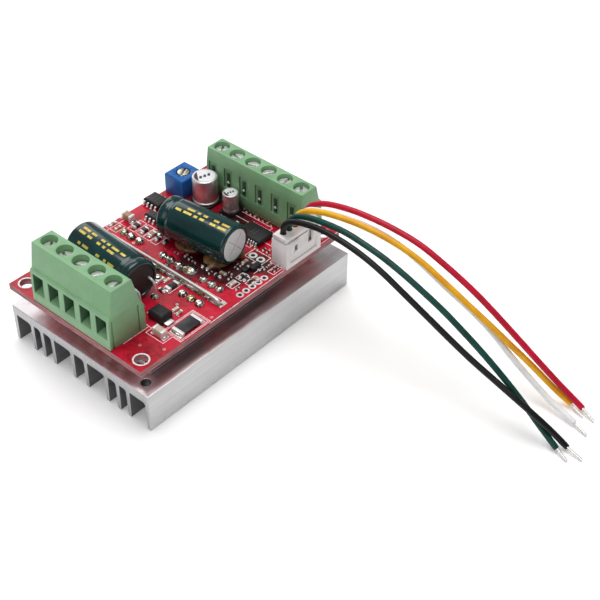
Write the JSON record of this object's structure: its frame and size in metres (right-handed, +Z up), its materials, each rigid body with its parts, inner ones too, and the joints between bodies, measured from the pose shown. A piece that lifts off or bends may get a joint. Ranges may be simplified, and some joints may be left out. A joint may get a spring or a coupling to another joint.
{
  "type": "motor driver module",
  "caption": "Three-phase motor driver board on a finned aluminium heatsink, with green screw terminals, lying capacitors and a wired sensor plug.",
  "frame": {"origin": "middle of the heatsink's underside, on the plane of the fin tips", "axes": "+Z up from the fin tips, +X along the board from the power terminal to the control terminal, -Y towards the edge with the sensor plug"},
  "size_m": [0.0679, 0.1189, 0.0321],
  "materials": {
    "aluminium": "satin extruded, machined ends",
    "board": "glossy solder mask",
    "silicone_pad": "matte",
    "epoxy": "moulded",
    "screw_steel": "plated",
    "clamp_brass": "plated",
    "terminal_green": "moulded",
    "white_nylon": "moulded",
    "capacitor_sleeve": "shrink sleeve",
    "can_aluminium": "drawn",
    "trimmer_blue": "moulded",
    "rotor_brass": "plated",
    "ceramic": "sintered",
    "tin": "tinned copper",
    "hall_wire_black": "insulation",
    "hall_wire_green": "insulation",
    "hall_wire_yellow": "insulation",
    "hall_wire_white": "insulation",
    "hall_wire_red": "insulation"
  },
  "bodies": {
    "driver": {"heatsink": "aluminium", "circuit_board": "board", "insulating_pad": "silicone_pad", "mosfet_1": "epoxy", "mosfet_2": "epoxy", "mosfet_3": "epoxy", "mosfet_4": "epoxy", "mosfet_5": "epoxy", "mosfet_6": "epoxy", "mosfet_screw_1": "screw_steel", "mosfet_screw_2": "screw_steel", "mosfet_screw_3": "screw_steel", "mosfet_screw_4": "screw_steel", "mosfet_screw_5": "screw_steel", "mosfet_screw_6": "screw_steel", "power_terminal_housing": "terminal_green", "control_terminal_housing": "terminal_green", "hall_header": "white_nylon", "bulk_capacitor_left": "capacitor_sleeve", "bulk_capacitor_right": "capacitor_sleeve", "can_capacitor_large": "can_aluminium", "can_capacitor_small": "can_aluminium", "trimmer_body": "trimmer_blue", "driver_chip": "epoxy", "gate_chip": "epoxy", "controller_chip": "epoxy", "supply_diode": "epoxy", "current_shunt": "epoxy", "ceramic_capacitor_large": "ceramic", "ceramic_capacitor_brown": "ceramic", "bus_bar": "tin"},
    "hall_lead": {"hall_plug": "white_nylon", "hall_wire_black": "hall_wire_black", "hall_wire_green": "hall_wire_green", "hall_wire_yellow": "hall_wire_yellow", "hall_wire_white": "hall_wire_white", "hall_wire_red": "hall_wire_red"},
    "trimmer_rotor": {"trimmer_rotor": "rotor_brass"},
    "power_terminal_screw_1": {"power_terminal_screw_1": "screw_steel"},
    "power_terminal_clamp_1": {"power_terminal_clamp_1": "clamp_brass"},
    "power_terminal_screw_2": {"power_terminal_screw_2": "screw_steel"},
    "power_terminal_clamp_2": {"power_terminal_clamp_2": "clamp_brass"},
    "power_terminal_screw_3": {"power_terminal_screw_3": "screw_steel"},
    "power_terminal_clamp_3": {"power_terminal_clamp_3": "clamp_brass"},
    "power_terminal_screw_4": {"power_terminal_screw_4": "screw_steel"},
    "power_terminal_clamp_4": {"power_terminal_clamp_4": "clamp_brass"},
    "power_terminal_screw_5": {"power_terminal_screw_5": "screw_steel"},
    "power_terminal_clamp_5": {"power_terminal_clamp_5": "clamp_brass"},
    "control_terminal_screw_1": {"control_terminal_screw_1": "screw_steel"},
    "control_terminal_clamp_1": {"control_terminal_clamp_1": "clamp_brass"},
    "control_terminal_screw_2": {"control_terminal_screw_2": "screw_steel"},
    "control_terminal_clamp_2": {"control_terminal_clamp_2": "clamp_brass"},
    "control_terminal_screw_3": {"control_terminal_screw_3": "screw_steel"},
    "control_terminal_clamp_3": {"control_terminal_clamp_3": "clamp_brass"},
    "control_terminal_screw_4": {"control_terminal_screw_4": "screw_steel"},
    "control_terminal_clamp_4": {"control_terminal_clamp_4": "clamp_brass"},
    "control_terminal_screw_5": {"control_terminal_screw_5": "screw_steel"},
    "control_terminal_clamp_5": {"control_terminal_clamp_5": "clamp_brass"},
    "control_terminal_screw_6": {"control_terminal_screw_6": "screw_steel"},
    "control_terminal_clamp_6": {"control_terminal_clamp_6": "clamp_brass"}
  },
  "joints": [
    {"name": "power_terminal_screw_1_turn", "type": "hinge", "parent": "driver", "child": "power_terminal_screw_1", "pos_m": [-0.0281, 0.01106, 0.03015], "axis": [0, 0, -1], "range_deg": [0, 1801]},
    {"name": "power_terminal_clamp_1_rise", "type": "slide", "parent": "driver", "child": "power_terminal_clamp_1", "axis": [0, 0, 1], "range_m": [0, 0.00225]},
    {"name": "power_terminal_screw_2_turn", "type": "hinge", "parent": "driver", "child": "power_terminal_screw_2", "pos_m": [-0.0281, 0.00598, 0.03015], "axis": [0, 0, -1], "range_deg": [0, 1801]},
    {"name": "power_terminal_clamp_2_rise", "type": "slide", "parent": "driver", "child": "power_terminal_clamp_2", "axis": [0, 0, 1], "range_m": [0, 0.00225]},
    {"name": "power_terminal_screw_3_turn", "type": "hinge", "parent": "driver", "child": "power_terminal_screw_3", "pos_m": [-0.0281, 0.0009, 0.03015], "axis": [0, 0, -1], "range_deg": [0, 1801]},
    {"name": "power_terminal_clamp_3_rise", "type": "slide", "parent": "driver", "child": "power_terminal_clamp_3", "axis": [0, 0, 1], "range_m": [0, 0.00225]},
    {"name": "power_terminal_screw_4_turn", "type": "hinge", "parent": "driver", "child": "power_terminal_screw_4", "pos_m": [-0.0281, -0.00418, 0.03015], "axis": [0, 0, -1], "range_deg": [0, 1801]},
    {"name": "power_terminal_clamp_4_rise", "type": "slide", "parent": "driver", "child": "power_terminal_clamp_4", "axis": [0, 0, 1], "range_m": [0, 0.00225]},
    {"name": "power_terminal_screw_5_turn", "type": "hinge", "parent": "driver", "child": "power_terminal_screw_5", "pos_m": [-0.0281, -0.00926, 0.03015], "axis": [0, 0, -1], "range_deg": [0, 1801]},
    {"name": "power_terminal_clamp_5_rise", "type": "slide", "parent": "driver", "child": "power_terminal_clamp_5", "axis": [0, 0, 1], "range_m": [0, 0.00225]},
    {"name": "control_terminal_screw_1_turn", "type": "hinge", "parent": "driver", "child": "control_terminal_screw_1", "pos_m": [0.02553, 0.0116, 0.02825], "axis": [0, 0, -1], "range_deg": [0, 1801]},
    {"name": "control_terminal_clamp_1_rise", "type": "slide", "parent": "driver", "child": "control_terminal_clamp_1", "axis": [0, 0, 1], "range_m": [0, 0.00225]},
    {"name": "control_terminal_screw_2_turn", "type": "hinge", "parent": "driver", "child": "control_terminal_screw_2", "pos_m": [0.02553, 0.00652, 0.02825], "axis": [0, 0, -1], "range_deg": [0, 1801]},
    {"name": "control_terminal_clamp_2_rise", "type": "slide", "parent": "driver", "child": "control_terminal_clamp_2", "axis": [0, 0, 1], "range_m": [0, 0.00225]},
    {"name": "control_terminal_screw_3_turn", "type": "hinge", "parent": "driver", "child": "control_terminal_screw_3", "pos_m": [0.02553, 0.00144, 0.02825], "axis": [0, 0, -1], "range_deg": [0, 1801]},
    {"name": "control_terminal_clamp_3_rise", "type": "slide", "parent": "driver", "child": "control_terminal_clamp_3", "axis": [0, 0, 1], "range_m": [0, 0.00225]},
    {"name": "control_terminal_screw_4_turn", "type": "hinge", "parent": "driver", "child": "control_terminal_screw_4", "pos_m": [0.02553, -0.00364, 0.02825], "axis": [0, 0, -1], "range_deg": [0, 1801]},
    {"name": "control_terminal_clamp_4_rise", "type": "slide", "parent": "driver", "child": "control_terminal_clamp_4", "axis": [0, 0, 1], "range_m": [0, 0.00225]},
    {"name": "control_terminal_screw_5_turn", "type": "hinge", "parent": "driver", "child": "control_terminal_screw_5", "pos_m": [0.02553, -0.00872, 0.02825], "axis": [0, 0, -1], "range_deg": [0, 1801]},
    {"name": "control_terminal_clamp_5_rise", "type": "slide", "parent": "driver", "child": "control_terminal_clamp_5", "axis": [0, 0, 1], "range_m": [0, 0.00225]},
    {"name": "control_terminal_screw_6_turn", "type": "hinge", "parent": "driver", "child": "control_terminal_screw_6", "pos_m": [0.02553, -0.0138, 0.02825], "axis": [0, 0, -1], "range_deg": [0, 1801]},
    {"name": "control_terminal_clamp_6_rise", "type": "slide", "parent": "driver", "child": "control_terminal_clamp_6", "axis": [0, 0, 1], "range_m": [0, 0.00225]},
    {"name": "trimmer_rotor_turn", "type": "hinge", "parent": "driver", "child": "trimmer_rotor", "pos_m": [0.01875, 0.0186, 0.0215], "axis": [0, 0, 1], "range_deg": [-130, 130]},
    {"name": "hall_plug_pull", "type": "slide", "parent": "driver", "child": "hall_lead", "axis": [0, 0, 1], "range_m": [0, 0.006]}
  ],
  "couplings": [
    {"joint": "power_terminal_screw_1_turn", "follows": "power_terminal_clamp_1_rise", "rad_per_m": 13963},
    {"joint": "power_terminal_screw_2_turn", "follows": "power_terminal_clamp_2_rise", "rad_per_m": 13963},
    {"joint": "power_terminal_screw_3_turn", "follows": "power_terminal_clamp_3_rise", "rad_per_m": 13963},
    {"joint": "power_terminal_screw_4_turn", "follows": "power_terminal_clamp_4_rise", "rad_per_m": 13963},
    {"joint": "power_terminal_screw_5_turn", "follows": "power_terminal_clamp_5_rise", "rad_per_m": 13963},
    {"joint": "control_terminal_screw_1_turn", "follows": "control_terminal_clamp_1_rise", "rad_per_m": 13963},
    {"joint": "control_terminal_screw_2_turn", "follows": "control_terminal_clamp_2_rise", "rad_per_m": 13963},
    {"joint": "control_terminal_screw_3_turn", "follows": "control_terminal_clamp_3_rise", "rad_per_m": 13963},
    {"joint": "control_terminal_screw_4_turn", "follows": "control_terminal_clamp_4_rise", "rad_per_m": 13963},
    {"joint": "control_terminal_screw_5_turn", "follows": "control_terminal_clamp_5_rise", "rad_per_m": 13963},
    {"joint": "control_terminal_screw_6_turn", "follows": "control_terminal_clamp_6_rise", "rad_per_m": 13963}
  ]
}
